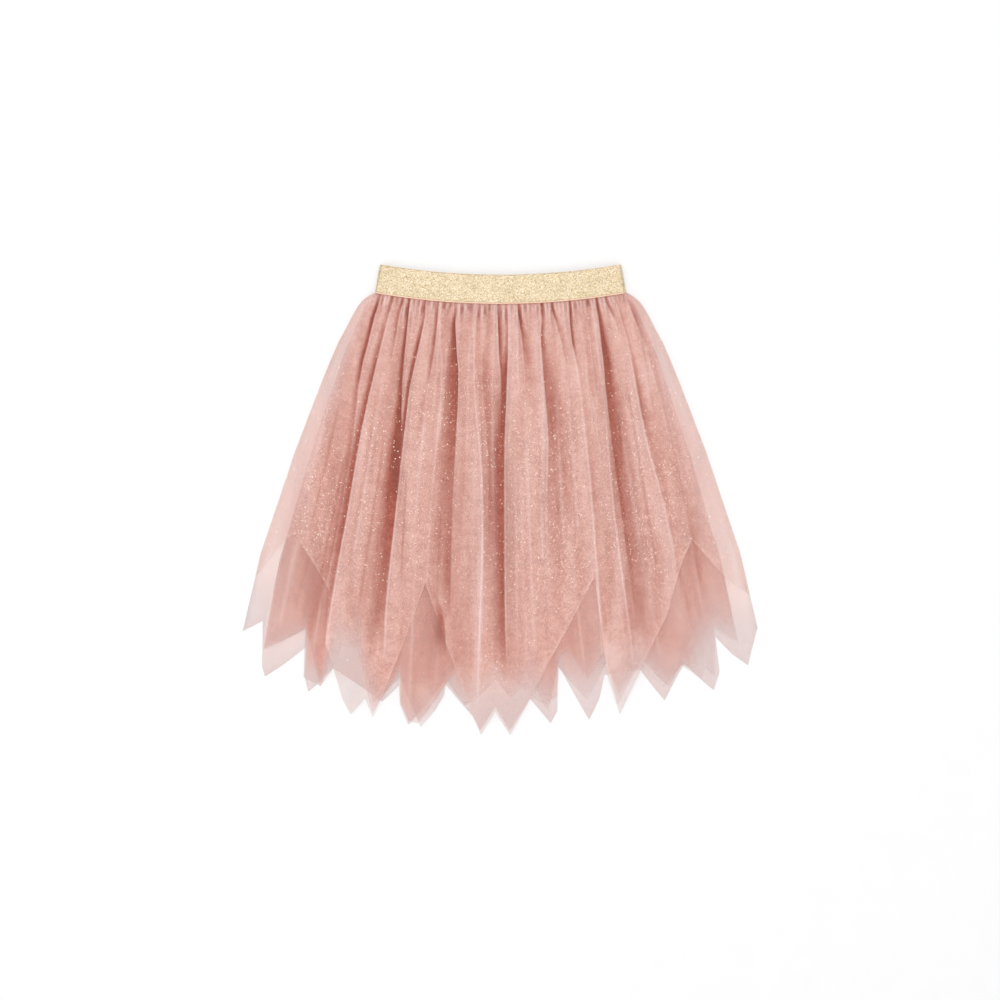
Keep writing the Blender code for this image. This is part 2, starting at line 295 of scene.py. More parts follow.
class Nodes:
    """Short ways to add nodes to one tree and join them."""

    def __init__(self, tree):
        self.tree = tree

    def feed(self, socket, value):
        if isinstance(value, bpy.types.NodeSocket):
            self.tree.links.new(value, socket)
        else:
            socket.default_value = value

    def wire(self, node, **inputs):
        for name, value in inputs.items():
            self.feed(node.inputs[name.replace("_", " ")], value)
        return node

    def add(self, kind, settings=None, **inputs):
        node = self.tree.nodes.new(kind)
        for name, value in (settings or {}).items():
            setattr(node, name, value)
        return self.wire(node, **inputs)

    def math(self, operation, *values):
        node = self.add("ShaderNodeMath", {"operation": operation})
        for socket, value in zip(node.inputs, values):
            self.feed(socket, value)
        return node.outputs[0]

    def mix(self, share, first, second):
        node = self.add("ShaderNodeMix", {"data_type": "RGBA"})
        for number, value in ((0, share), (6, first), (7, second)):
            self.feed(node.inputs[number], value)
        return node.outputs[2]

    def ramp(self, value, low, high, to_low=0.0, to_high=1.0):
        return self.add("ShaderNodeMapRange", {"clamp": True}, Value=value, From_Min=low,
                        From_Max=high, To_Min=to_low, To_Max=to_high).outputs[0]

    def object_place(self):
        return self.add("ShaderNodeTexCoord").outputs["Object"]

    def noise(self, where, scale, detail, roughness=0.5):
        return self.add("ShaderNodeTexNoise", Vector=where, Scale=scale, Detail=detail,
                        Roughness=roughness).outputs["Fac"]

    def bump(self, height, strength, distance):
        return self.add("ShaderNodeBump", Height=height, Strength=strength,
                        Distance=distance).outputs["Normal"]


def new_material(name):
    """A material, its nodes and its shader."""
    material = bpy.data.materials.new(name)
    material.use_nodes = True
    return material, Nodes(material.node_tree), material.node_tree.nodes["Principled BSDF"]


COVER_SLOPE = 3.0
COVER_START = -1.45
THREAD_SOFTNESS = 0.35


def net_group():
    """Hexagonal net: three waves at 60 degrees, whose high spots are the holes."""
    tree = bpy.data.node_groups.new("hexagonal_net", "ShaderNodeTree")
    add_socket(tree, "Cloth", "Vector")
    add_socket(tree, "Cell", "Float", 0.0012)
    add_socket(tree, "Cover", "Float", 0.45)
    add_socket(tree, "Threads", "Float", output=True)
    nodes = Nodes(tree)
    inside = nodes.add("NodeGroupInput").outputs
    scale = nodes.math("DIVIDE", 4 * np.pi / np.sqrt(3), inside["Cell"])
    total = 0.0
    for turn in np.radians((0, 120, 240)):
        along = nodes.add("ShaderNodeVectorMath", {"operation": "DOT_PRODUCT"})
        nodes.feed(along.inputs[0], inside["Cloth"])
        nodes.feed(along.inputs[1], (float(np.cos(turn)), float(np.sin(turn)), 0.0))
        wave = nodes.math("COSINE", nodes.math("MULTIPLY", along.outputs["Value"], scale))
        total = nodes.math("ADD", wave, total)
    # A wave sum of -1.5 is the middle of a thread crossing, and 3 the middle of a hole.
    edge = nodes.math("MULTIPLY_ADD", inside["Cover"], COVER_SLOPE, COVER_START)
    threads = nodes.ramp(nodes.math("SUBTRACT", total, edge), -THREAD_SOFTNESS,
                         THREAD_SOFTNESS, 1.0, 0.0)
    nodes.add("NodeGroupOutput", Threads=threads)
    return tree


hexagonal_net = net_group()
NET_CELL = 0.00098
LIGHT_THROUGH_THREAD = 0.6
SINGLE_LAYER_GREY = (0.60, 0.43, 0.41)
# Painted shadow colour of the deepest tucks and valley cores, used above DEEP_AT of the shade mark.
DARKEST_SHADE = (0.19, 0.050, 0.038)
DEEP_AT = 0.85

# The unevenness of the net as three noises, with the scale, detail, roughness and weight of each:
# blotches, grain and a broad veil.
UNEVENNESS = [(330, 2, 0.6, 0.35), (900, 1, 0.5, 0.60), (110, 2, 0.6, 0.35)]
UNEVEN_RANGE = (0.52, 0.78)
RIDGE_TINTS = (0.85, 0.76, 0.76), (1.05, 1.16, 1.20)
VALLEY_TINTS = (0.82, 0.66, 0.66), (1.18, 1.50, 1.55)
UNEVEN_COVER = 0.11
THICK_COVER = 0.45


def tulle(name, ridge, valley, edge, cover, mottle_seed):
    """Soft nylon net, open between threads; deeper where gathered, from denser net and painted shade."""
    material, nodes, shader = new_material(name)
    cloth = nodes.add("ShaderNodeUVMap", {"uv_map": "cloth"}).outputs["UV"]
    moved = nodes.add("ShaderNodeMapping", Vector=cloth, Location=(mottle_seed, 0, 0))
    moved = moved.outputs["Vector"]
    shade, light, thick, alone, faint = (
        nodes.add("ShaderNodeAttribute", {"attribute_name": name_of_mark}).outputs["Fac"]
        for name_of_mark in ("shade", "edge", "thick", "alone", "faint"))

    uneven = 0.0
    for scale, detail, roughness, weight in UNEVENNESS:
        noise = nodes.noise(moved, scale, detail, roughness)
        uneven = nodes.math("MULTIPLY_ADD", noise, weight, uneven)
    uneven = nodes.ramp(uneven, *UNEVEN_RANGE, -1.0, 1.0)
    spread = nodes.ramp(uneven, -1.0, 1.0)
    # ridge is the net's own colour, valley its colour in painted shade, and edge its painted highlight
    # colour.
    colour = nodes.mix(spread, *((*np.multiply(ridge, tint), 1) for tint in RIDGE_TINTS))
    deep = nodes.mix(spread, *((*np.multiply(valley, tint), 1) for tint in VALLEY_TINTS))
    # Painted shade from the shade mark, darkest in the tucks, then painted highlight from the edge mark.
    colour = nodes.mix(nodes.ramp(shade, 0.0, DEEP_AT), colour, deep)
    colour = nodes.mix(nodes.ramp(shade, DEEP_AT, 1.0), colour, (*DARKEST_SHADE, 1))
    colour = nodes.mix(light, colour, (*edge, 1))
    colour = nodes.mix(alone, colour, (*SINGLE_LAYER_GREY, 1))

    wanted = nodes.math("MULTIPLY_ADD", uneven, UNEVEN_COVER, cover)
    wanted = nodes.math("MULTIPLY_ADD", thick, THICK_COVER, wanted)
    net = nodes.add("ShaderNodeGroup", {"node_tree": hexagonal_net}, Cloth=moved,
                    Cell=NET_CELL, Cover=wanted)
    # Nylon thread is clear enough for more than half of the light to reach the layers below.
    path = nodes.add("ShaderNodeLightPath").outputs
    passing = nodes.math("MAXIMUM", path["Is Shadow Ray"], path["Is Diffuse Ray"])
    solid = nodes.math("MULTIPLY_ADD", passing, -LIGHT_THROUGH_THREAD, 1.0)
    solid = nodes.math("MULTIPLY", solid, nodes.math("SUBTRACT", 1.0, faint))
    nodes.wire(shader, Base_Color=colour, Normal=nodes.bump(uneven, 0.25, 0.0006),
               Alpha=nodes.math("MULTIPLY", net.outputs["Threads"], solid), Roughness=0.62,
               Specular_IOR_Level=0.15, Sheen_Weight=0.1, Sheen_Roughness=0.5)
    return material


# The glitter tulle's own colour, its valley colour in painted shade (partly the denser gathered net),
# and its painted highlight colour.
OUTER_PINK = (0.84, 0.495, 0.415)
OUTER_SHADE = (0.37, 0.095, 0.065)
OUTER_LIGHT = (0.89, 0.70, 0.66)
SLOT_FLOOR = 0.0022
SLOT_STEP = 0.0006
SHEER_HEM = 0.025
FAINT_SIDE = 0.75
FAINT_POINT = 0.85
FAINT_ACROSS = (0.90, 0.96)
FAINT_DOWN = (0.205, 0.235)


def leaving_band(drop, layer, height, run):
    """The cloth's height as it comes out of the flat slot inside the band and takes its own."""
    slot_height = SLOT_FLOOR + layer * SLOT_STEP
    return slot_height + (height - slot_height) * (1 - fading(drop, run))


def faint_parts(line, angle, drop):
    """Where an under panel hardly shows: down its upper sides, and in the thin points."""
    side = np.interp(np.abs(line), FAINT_ACROSS, (0, 1)) * np.interp(drop, FAINT_DOWN, (1, 0))
    return np.maximum(FAINT_SIDE * side, FAINT_POINT * sheer(angle, drop))


BACK_FLAT_RUN = 0.0050
BACK_RUMPLES = 0.0012
NEAR_BAND = 0.030
# Strengths of the painted shade in tucks and furrows, the painted highlight on ridges, and the lighter
# hem rim.
BACK_TUCK_SHADE = 0.6
BACK_FURROW_SHADE = 0.3
BACK_RIDGE_LIGHT = 0.4
BACK_RIM = 0.3
BACK_THICKER = 0.3


def back_panel(name, layer, hem, creases, reach, seed, material, columns, rows):
    """A back panel: flat on what is below it, with shallow gathers and pressed creases."""
    line, drop = cloth_grid(hem, reach, columns, rows)
    height, ridge, furrow = creased(line, drop, creases)
    angle = angle_at(line, drop)
    thin = sheer(angle, drop)
    tuck, _ = tucked(-angle, drop)
    lift = np.maximum(height + rumples(line, drop, seed, BACK_RUMPLES), 0)
    lift = np.minimum(lift, LAYER_STEP - 2 * TULLE)
    bottom = leaving_band(drop, layer, layer * LAYER_STEP + lift, BACK_FLAT_RUN)
    hem_rim = near_hem(drop, 2 * HEM_EDGE)
    marks = {
        # shade is painted shade in tucks and furrows; edge is painted highlight on crease ridges,
        # lighter along the hem.
        "shade": BACK_TUCK_SHADE * tuck + BACK_FURROW_SHADE * furrow,
        "edge": np.maximum(BACK_RIDGE_LIGHT * ridge, BACK_RIM * hem_rim),
        "thick": BACK_THICKER * (fading(drop, NEAR_BAND) + hem_rim + thin),
        "alone": np.maximum(thin, near_hem(drop, SHEER_HEM)),
        "faint": faint_parts(line, angle, drop) if reach < 1 else np.zeros_like(angle),
    }
    return tulle_shell(name, angle, drop, bottom, marks, material)


glitter_tulle = tulle("glitter_tulle", OUTER_PINK, OUTER_SHADE, OUTER_LIGHT, 0.22, 0.0)
outer_back = back_panel("outer_back_tulle", 0, OUTER_BACK_HEM, OUTER_BACK_CREASES, 1.0, 11,
                        glitter_tulle, columns=200, rows=90)
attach(outer_back, "root")
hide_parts("outer_tulle_back")

# ----------------------------------------
# Under back panel: plain tulle, a little narrower than the outer one, with a pointed hem of its
# own, gathered into the same seam. It lies on the outer back panel.

UNDER_BACK_HEM = [
    (-12.55, 260), (-12.4, 332), (-10.47, 309), (-10.1, 352), (-9.2, 357), (-8.75, 343), (-8.45, 314),
    (-7.4, 318), (-6.42, 366), (-5.2, 340), (-3.95, 384), (-3.3, 368), (-2.89, 354), (-2.8, 340),
    (-1.8, 362), (-1.2, 356), (-0.26, 338), (0.5, 354), (1.6, 340), (2.4, 368), (3, 328), (4.42, 360),
    (5.6, 326), (5.9, 367), (7.4, 328), (8.6, 356), (9.4, 338), (10.3, 354), (10.6, 344), (11, 354),
    (11.5, 310), (12.5, 328),
]
UNDER_BACK_CREASES = [
    (-10.1, 6, -11.2, 340, 2, 0.7), (-7.2, 5, -7.9, 320, 1.7, 0.6), (-5.3, 9, -5.6, 335, 2.3, 0.8),
    (-3.4, 4, -3.5, 378, 1.8, 0.6), (-1.2, 7, -1.3, 362, 2.2, 0.8), (0.9, 5, 1.3, 330, 1.6, 0.6),
    (2.9, 8, 4.3, 362, 2.1, 0.8), (5.2, 4, 6.5, 345, 1.9, 0.6), (7, 9, 8.6, 345, 2.4, 0.8),
    (9, 5, 10.8, 340, 1.8, 0.7),
]
UNDER_REACH = 0.965
# The plain tulle's own colour, its valley colour in painted shade (partly the denser gathered net), and
# its painted highlight colour.
UNDER_PINK = (0.63, 0.295, 0.235)
UNDER_SHADE = (0.33, 0.080, 0.055)
UNDER_LIGHT = (0.78, 0.54, 0.49)

plain_tulle = tulle("plain_tulle", UNDER_PINK, UNDER_SHADE, UNDER_LIGHT, 0.28, 3.7)
under_back = back_panel("under_back_tulle", 1, UNDER_BACK_HEM, UNDER_BACK_CREASES, UNDER_REACH,
                        12, plain_tulle, columns=200, rows=90)
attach(under_back, "root")
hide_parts("under_tulle_back")

# ----------------------------------------
# Under front panel: plain tulle, gathered into the seam on top of the back panels. It stands up in
# the gathers at the band and in the long folds below it, and its hem shows below the outer one.

UNDER_FRONT_HEM = [
    (-12.55, 275), (-12.38, 334), (-10.47, 307), (-9.18, 357), (-8.75, 343), (-8.4, 318), (-7.6, 318),
    (-6.42, 374), (-5.22, 332), (-5.05, 362), (-4.55, 379), (-4.1, 380), (-1.52, 307), (0.48, 336),
    (2.23, 362), (2.88, 353), (3.1, 318), (3.6, 312), (4.47, 340), (5.43, 318), (6.01, 357), (7.24, 332),
    (8.31, 356), (9.55, 335), (10.3, 350), (10.55, 343), (10.9, 352), (11.42, 311), (12.5, 331),
]
UNDER_FRONT_CREASES = [
    (-11.6, 120, -11.9, 325, 2, 0.5), (-10.9, 200, -11.2, 320, 1.4, -0.5),
    (-9.7, 150, -9.9, 345, 1.6, 0.5), (-8.3, 60, -8.6, 330, 1.8, 0.4), (-5.5, 180, -5.3, 340, 1.6, -0.5),
    (-4.9, 230, -4.6, 370, 1.5, 0.5), (-3.4, 200, -3.3, 350, 1.8, 0.5), (-1.7, 60, -1.5, 300, 2, 0.5),
    (1.2, 120, 1.4, 350, 1.6, 0.5), (2.6, 80, 2.5, 350, 1.4, -0.5), (4.1, 200, 4.4, 345, 1.6, 0.5),
    (6.5, 220, 6.6, 350, 1.5, 0.5), (8.4, 160, 8.3, 350, 1.8, 0.5), (9.9, 190, 10.4, 330, 1.5, -0.5),
    (11.1, 150, 11, 335, 1.6, 0.5),
]

LEFT, RIGHT = -1, 1

# The folds of the front: first the side of its sharp edge on which each has its valley of painted
# shade, partly for the denser gathered net, then down that edge the drop in mm, its angle, how wide
# the shade is in mm, how deep it is, and how strong the edge's painted highlight is, both in hundredths.
FOLDS = [
    (LEFT, (4, -9.42, 2.5, 60, 20), (22, -9.62, 3.5, 100, 40), (45, -9.74, 3.5, 90, 50),
     (62, -9.87, 3.5, 85, 50), (85, -9.88, 4, 55, 30), (105, -9.78, 5, 40, 20),
     (140, -9.68, 5.5, 40, 20), (190, -9.68, 6, 40, 20), (230, -9.72, 7, 40, 20), (270, -9.8, 7, 45, 30),
     (300, -10, 5, 25, 30)),
    (LEFT, (4, -8.42, 3, 60, 20), (20, -8.6, 4, 45, 40), (40, -8.76, 4, 50, 50), (60, -8.9, 4.5, 70, 60),
     (90, -9.07, 5, 80, 70), (120, -9.19, 6, 75, 70), (160, -9.25, 6.5, 85, 80), (200, -9.25, 7, 80, 80),
     (240, -9.31, 7, 65, 80), (280, -9.34, 7, 50, 70), (310, -9.3, 5, 25, 50)),
    (LEFT, (100, -8.45, 7, 10, 0), (150, -8.45, 8, 22, 0), (210, -8.5, 8, 20, 0), (240, -8.5, 7, 10, 0)),
    (LEFT, (4, -7.62, 2.5, 60, 30), (15, -7.78, 2.2, 55, 40), (35, -7.8, 2.5, 45, 40),
     (50, -7.85, 3, 25, 20), (65, -7.95, 3, 0, 0)),
    (LEFT, (6, -7.1, 2.5, 80, 20), (18, -7.06, 2.8, 80, 20), (35, -7.02, 3, 95, 30),
     (50, -7, 3.6, 100, 35), (75, -6.93, 4.2, 97, 35), (95, -6.8, 5, 93, 30), (120, -6.58, 9, 100, 35),
     (145, -6.45, 14, 100, 20), (170, -6.4, 15, 70, 0)),
    (LEFT, (5, -5.86, 2.5, 70, 20), (14, -5.8, 2.5, 60, 30), (30, -5.92, 3.5, 70, 50),
     (42, -6.03, 4, 95, 50), (60, -6.2, 4, 95, 50), (80, -6.37, 3, 90, 50), (110, -6.38, 2.6, 85, 60),
     (140, -6.38, 6, 95, 70), (165, -6.38, 13, 100, 80), (185, -6.38, 15, 95, 80),
     (220, -6.38, 14, 72, 80), (260, -6.38, 13, 60, 80), (290, -6.32, 10, 40, 70),
     (315, -6.2, 6, 10, 50)),
    (LEFT, (4, -4.85, 2.5, 60, 30), (20, -4.84, 2.8, 70, 50), (40, -4.85, 3, 65, 50),
     (60, -4.98, 3.5, 50, 30), (80, -5.15, 4, 35, 10), (110, -5.2, 5, 30, 0), (135, -5.2, 5, 10, 0)),
    (RIGHT, (4, -4.55, 2, 30, 60), (25, -4.47, 3, 10, 60), (40, -4.33, 3.5, 8, 60),
     (52, -4.13, 3.5, 8, 50), (75, -4, 4, 8, 50), (100, -4, 4, 8, 60), (125, -4.07, 5, 8, 60),
     (150, -4.12, 6, 10, 50), (190, -4.15, 6, 10, 30), (240, -4.1, 6, 10, 10)),
    (LEFT, (6, -3.42, 3, 40, 30), (18, -3.47, 3.5, 85, 40), (30, -3.36, 5, 95, 50),
     (45, -3.23, 6.5, 100, 50), (60, -3.06, 9.5, 100, 40), (75, -3, 10, 95, 40), (95, -2.96, 11, 80, 40),
     (120, -2.96, 12, 70, 30), (145, -2.97, 13, 57, 10), (170, -2.97, 14, 52, 0),
     (210, -2.93, 15, 48, 0), (250, -2.84, 13, 48, 0), (272, -2.8, 8, 30, 0)),
    (LEFT, (262, -3.6, 5, 10, 0), (282, -3.15, 9, 50, 0), (300, -2.97, 10, 65, 0),
     (318, -2.87, 8, 20, 0)),
    (LEFT, (10, -2.2, 9, 12, 0), (60, -2.2, 9, 20, 0), (200, -2.3, 10, 20, 0), (250, -2.4, 9, 10, 0)),
    (RIGHT, (6, -1.85, 3, 15, 40), (40, -1.83, 5, 15, 50), (70, -1.75, 8, 20, 60),
     (100, -1.52, 8, 20, 70), (125, -1.3, 9, 22, 70), (150, -1.12, 10, 25, 75), (190, -1, 11, 35, 80),
     (230, -0.98, 10, 30, 90), (280, -1.03, 8, 15, 100), (340, -1.08, 5, 15, 100),
     (372, -1.12, 3, 10, 80)),
    (RIGHT, (15, -1.15, 4, 20, 10), (40, -1.25, 6, 30, 10), (70, -1.2, 8, 40, 10),
     (105, -0.95, 10, 40, 0), (135, -0.75, 10, 35, 0), (175, -0.7, 9, 35, 0), (205, -0.7, 8, 10, 0)),
    (RIGHT, (4, -0.2, 3.5, 60, 40), (20, -0.16, 3.5, 80, 50), (35, -0.12, 4, 75, 60),
     (50, -0.06, 3.5, 60, 50), (62, 0.05, 3, 70, 30), (75, 0.1, 3, 50, 10)),
    (LEFT, (6, 0.48, 2, 50, 40), (22, 0.54, 1.8, 45, 50), (45, 0.52, 3.5, 60, 50), (62, 0.45, 5, 95, 50),
     (80, 0.39, 5.5, 100, 50), (100, 0.32, 6.5, 100, 50), (125, 0.23, 8, 100, 50),
     (150, 0.2, 9, 100, 50), (190, 0.2, 9.5, 95, 60), (230, 0.2, 10, 80, 60), (270, 0.21, 10, 70, 60),
     (300, 0.24, 9, 60, 50), (325, 0.28, 7, 20, 20)),
    (RIGHT, (4, 1.38, 2.5, 70, 30), (11, 1.42, 3, 90, 40), (20, 1.5, 4, 80, 30), (30, 1.62, 5, 60, 20),
     (45, 1.72, 7, 45, 10), (65, 1.78, 8, 35, 0), (95, 1.8, 7, 20, 0)),
    (RIGHT, (4, 3.17, 3, 80, 30), (15, 3.2, 3, 60, 30), (28, 3.03, 3.5, 65, 50), (45, 3.03, 6, 60, 60),
     (65, 3.08, 9, 60, 70), (85, 3.12, 13, 55, 70), (105, 3.17, 14, 50, 70), (125, 3.17, 15, 42, 70),
     (150, 3.05, 16, 38, 60), (180, 2.88, 16, 33, 30), (220, 2.82, 12, 22, 10)),
    (RIGHT, (4, 3.98, 3, 70, 20), (12, 4.12, 3, 65, 20), (20, 4.28, 5, 45, 20), (32, 4.48, 5.5, 40, 10),
     (50, 4.7, 6, 35, 0), (65, 4.8, 6, 15, 0)),
    (RIGHT, (6, 5.38, 2, 75, 30), (20, 5.3, 2.2, 85, 40), (38, 5.32, 2.2, 90, 50),
     (50, 5.45, 2.5, 30, 60), (62, 5.56, 2.5, 12, 60), (90, 5.66, 3, 12, 60), (120, 5.68, 3.5, 15, 70),
     (160, 5.7, 4.5, 20, 70), (200, 5.64, 5, 20, 80), (240, 5.59, 5, 20, 80), (270, 5.54, 5, 20, 90),
     (300, 5.48, 5, 15, 90), (335, 5.4, 3, 10, 70)),
    (RIGHT, (22, 6.2, 4, 10, 10), (50, 6.25, 6, 15, 20), (80, 6.2, 7, 20, 30), (115, 6.25, 6, 20, 30),
     (140, 6.35, 5, 10, 20)),
    (RIGHT, (14, 6.72, 4, 30, 0), (40, 6.72, 7, 30, 10), (75, 6.68, 7, 30, 10), (105, 6.7, 6, 10, 0)),
    (RIGHT, (6, 7.48, 2.5, 80, 20), (20, 7.5, 4, 90, 30), (42, 7.45, 6, 100, 50),
     (60, 7.44, 7.5, 100, 60), (78, 7.36, 9.5, 100, 60), (95, 7.33, 11.5, 80, 50),
     (120, 7.3, 14.5, 64, 30), (150, 7.3, 17, 53, 10), (190, 7.32, 17, 58, 0), (230, 7.34, 15, 54, 0),
     (270, 7.38, 13, 36, 0), (300, 7.3, 7, 20, 0)),
    (RIGHT, (100, 7.22, 5, 10, 50), (125, 7.1, 7, 25, 70), (150, 7.02, 9, 30, 80),
     (190, 6.95, 9, 30, 80), (230, 6.95, 9, 30, 80), (270, 7, 8, 25, 80), (305, 7.02, 7, 20, 70),
     (335, 7, 5, 10, 50)),
    (RIGHT, (4, 8.2, 3, 65, 30), (12, 8.42, 3.2, 60, 30), (25, 8.74, 4, 30, 20), (38, 8.85, 4, 10, 0)),
    (RIGHT, (6, 9, 2, 30, 20), (20, 9.2, 2, 25, 30), (40, 9.4, 2, 25, 40), (60, 9.45, 3, 40, 50),
     (85, 9.47, 4.5, 45, 70), (108, 9.5, 6, 50, 80), (130, 9.55, 6, 35, 90), (150, 9.68, 6, 25, 90),
     (175, 9.87, 6, 20, 90), (205, 10.02, 6, 20, 80), (235, 10.05, 5, 15, 50), (270, 9.9, 5, 10, 20)),
    (RIGHT, (4, 9.85, 3, 35, 30), (15, 10.02, 5, 50, 40), (30, 10.28, 6, 45, 40), (50, 10.58, 7, 30, 40),
     (75, 10.8, 7, 25, 40), (100, 11, 8, 20, 40), (140, 11.1, 9, 22, 30), (190, 11.15, 9, 25, 30),
     (225, 11.15, 8, 30, 30), (260, 11.15, 6, 20, 20)),
]

# The folds' valleys get painted shade, darkest in a core by the sharp edge, and their edges a painted
# highlight: a light line and a glow over the lit side.
DEEPEN = 1.45
FOLD_END = 20
SHARP_SHADE = 0.0009
CORE_RUN = 0.0022
SHARP_SLOPE = 0.0026
BROAD_SLOPE = 0.0060
BROAD_MORE = 0.004
EDGE_PLACE = 0.0016
EDGE_WIDTH = 0.0009
GLOW_RUN = 0.0120
GLOW = 0.42
FOLD_LIP = 0.0014
LIP_SHARE = 0.4
LIP_FROM = 0.030


def folded(angle, drop):
    """The painted shade of the folds' valleys, their grooves and hollows, their edges' painted
    highlight, and lean.
    """
    down = drop * 1000
    valley, core, groove, hollow, edge, lean = np.zeros((6, *angle.shape))
    for side, *rows in FOLDS:
        drops, places, widths, depths, lights = np.array(rows, dtype=float).T
        here = np.clip((drops[-1] + FOLD_END - down) / FOLD_END, 0, 1)
        on_fold = -side * beside(angle, drop, np.interp(down, drops, places))
        over, into = np.maximum(on_fold, 0), np.maximum(-on_fold, 0)
        width = np.interp(down, drops, widths) / 1000
        depth = (1 - (1 - np.interp(down, drops, depths / 100)) ** DEEPEN) * here
        # Painted shade of the valley, partly for the denser gathered net, darkest by the sharp edge.
        shade = np.exp(-(into / width) ** 2.5 - (over / SHARP_SHADE) ** 2)
        valley = 1 - (1 - valley) * (1 - depth * shade)
        core = np.maximum(core, depth**2 * shade * np.exp(-(into / CORE_RUN) ** 2))
        sharp = np.exp(-(into / width) ** 2 - (over / SHARP_SLOPE) ** 2)
        groove = np.maximum(groove, depth * sharp)
        broad = np.exp(-(into / (2 * width + BROAD_MORE)) ** 2 - (over / BROAD_SLOPE) ** 1.5)
        hollow = np.maximum(hollow, depth * broad)
        # Painted highlight: a light line along the sharp edge and a glow over the fold's lit side.
        light = np.interp(down, drops, lights / 100) * here
        line_light = np.exp(-((on_fold - EDGE_PLACE) / EDGE_WIDTH) ** 2)
        glow = GLOW * np.exp(-over / GLOW_RUN) * (on_fold > 0)
        edge = np.maximum(edge, light * np.maximum(line_light, glow))
        part = over / FOLD_LIP
        lean += side * FOLD_LIP * LIP_SHARE * depth * part * np.exp(1 - 1.5 * part)
    return valley, core, groove, hollow, edge, lean * np.clip(drop / LIP_FROM, 0, 1)


def small_creases(seed, count):
    """Small creases of a soft net, as rows for the table of creases: short and nearly upright."""
    random = np.random.default_rng(seed)
    rows = []
    for _ in range(count):
        angle, drop = random.uniform(-12.2, 12.2), random.uniform(0, 290)
        length, slant = random.uniform(25, 80), random.normal(0, 0.22)
        width, rise = random.uniform(0.9, 2.2), random.choice([-1, 1]) * random.uniform(0.2, 0.5)
        rows.append((angle, drop, angle * 1.01 + slant, drop + length, width, rise))
    return rows


# Broad soft shades of the fronts: angle and drop in mm of each one's middle, half its width and
# half its length in mm, and how much darker it is in hundredths, or lighter if this is below 0.
SOFT_SHADES = [
    (-11.5, 60, 14, 30, 8), (-11.7, 170, 12, 80, 18), (-10.4, 180, 4, 85, 16), (-8.45, 185, 4, 50, 15),
    (-8.3, 98, 5, 12, 12), (-7.8, 175, 6, 50, -18), (-7.1, 230, 6, 35, 14), (-6.85, 292, 5, 26, 35),
    (-5.3, 100, 6, 14, 10), (-4.7, 220, 6, 50, -14), (-3.9, 262, 6, 9, 28), (-3.4, 300, 4, 20, 30),
    (-3.55, 70, 3, 20, 6), (-3.4, 140, 3, 35, 10), (-6.78, 92, 2, 14, 20), (-4.35, 182, 5, 30, 10),
    (-10.35, 262, 4, 26, 18), (-10.05, 200, 2.5, 60, -10), (-7.5, 115, 8, 24, 10),
    (-11.2, 250, 10, 24, 8), (-2.1, 12, 3, 12, 15), (-3, 25, 4, 22, 10), (3.05, 36, 3, 12, 15),
    (7.85, 56, 3, 18, 16), (12.05, 150, 3, 40, 14), (11.05, 250, 3, 24, 12), (-11, 45, 5, 25, 10),
    (-6.75, 140, 4, 28, 22), (-6.45, 165, 4, 14, 18), (-4.25, 112, 6, 25, -16), (-4, 170, 3, 30, -14),
    (4.3, 140, 4, 20, -14), (6.4, 62, 3, 36, 20), (6.6, 192, 2.5, 20, -12), (9.9, 102, 3, 20, 12),
    (10.2, 212, 5, 18, 14), (10.6, 112, 3, 25, -12), (11.2, 262, 3, 20, 12), (-2.8, 45, 4, 40, 14),
    (-2.65, 90, 3, 25, 12), (-3.9, 225, 6, 30, 12), (-1.4, 200, 5, 60, 14), (-0.35, 300, 5, 28, 16),
    (-0.3, 90, 6, 12, 12), (-1.25, 25, 3, 25, -25), (-0.85, 15, 3, 16, 20), (1, 200, 7, 70, 16),
    (1.75, 225, 4, 75, 12), (1.5, 75, 10, 30, -10), (2.65, 30, 5, 26, -28), (2.8, 112, 4, 28, -28),
    (3.95, 110, 5, 45, 20), (4.6, 200, 6, 55, 14), (3.9, 240, 8, 25, 8), (5.9, 150, 8, 60, 10),
    (6, 45, 7, 40, -18), (5.1, 75, 6, 25, -16), (6.4, 262, 6, 20, 14), (8.2, 150, 4, 50, 12),
    (8.2, 238, 4, 22, 18), (7.75, 288, 4, 20, 30), (8.7, 55, 5, 35, -18), (9.45, 205, 5, 35, -28),
    (9.35, 105, 3, 30, 15), (10.2, 85, 4, 35, -20), (10.2, 22, 3, 20, 12), (11, 170, 9, 50, 12),
    (12, 140, 4, 40, 12), (-2, 320, 8, 16, 15), (-8.3, 320, 13, 18, -55), (-4, 353, 10, 15, -50),
    (-1, 364, 8, 18, -50), (1, 354, 16, 18, -55), (2.4, 330, 6, 18, -30), (5.8, 322, 16, 13, -50),
    (6, 360, 7, 12, 22), (8.8, 330, 12, 14, -40), (9.9, 300, 9, 26, -42), (10.25, 335, 6, 10, 55),
    (11.8, 282, 9, 30, -50), (-12.2, 310, 8, 12, -30), (-8.5, 338, 14, 14, -50),
    (-9.85, 322, 5, 22, -30), (-3.5, 359, 8, 13, -50), (2.2, 348, 8, 14, -45), (6.1, 337, 7, 9, -35),
    (7.8, 330, 8, 14, -25), (12.2, 298, 6, 14, -30), (-12.8, 255, 6, 24, 26), (-10.6, 262, 5, 24, 10),
    (-2.3, 280, 9, 22, 10), (-1.5, 318, 4, 14, 15), (3.9, 290, 6, 10, 10), (-0.1, 325, 5, 12, 8),
    (-7.1, 304, 6, 12, 10), (-11.7, 302, 13, 14, -40), (-7.4, 368, 8, 8, 12), (5, 285, 5, 22, -18),
    (2.8, 285, 5, 25, -15),
]


